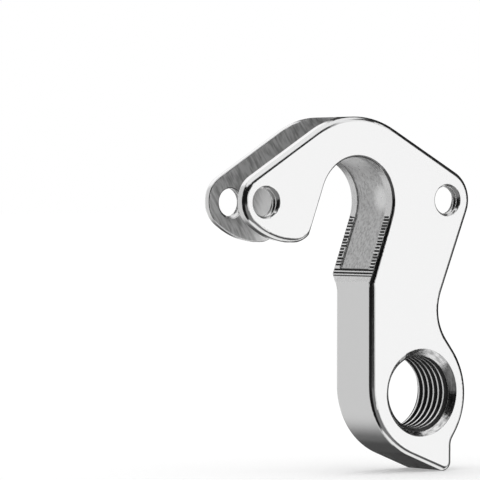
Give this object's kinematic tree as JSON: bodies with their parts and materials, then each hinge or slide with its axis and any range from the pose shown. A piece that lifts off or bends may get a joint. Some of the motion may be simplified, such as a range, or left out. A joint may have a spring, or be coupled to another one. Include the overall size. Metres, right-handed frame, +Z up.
{
  "type": "bicycle derailleur hanger",
  "caption": "Flat forged aluminium hanger: an arched head slotted for the frame's tongue, an open axle slot, and a stepped leg down to a boss with the derailleur's threaded hole.",
  "frame": {"origin": "centre of the wheel axle's seat, midway between the two frame bolts, on the flush inboard face", "axes": "as fitted to the bicycle: +X to the rear, +Y outboard through the thickness, +Z up"},
  "size_m": [0.0345, 0.0089, 0.0442],
  "materials": {
    "aluminium": "bright satin"
  },
  "bodies": {
    "root": {"hanger": "aluminium"}
  },
  "joints": []
}
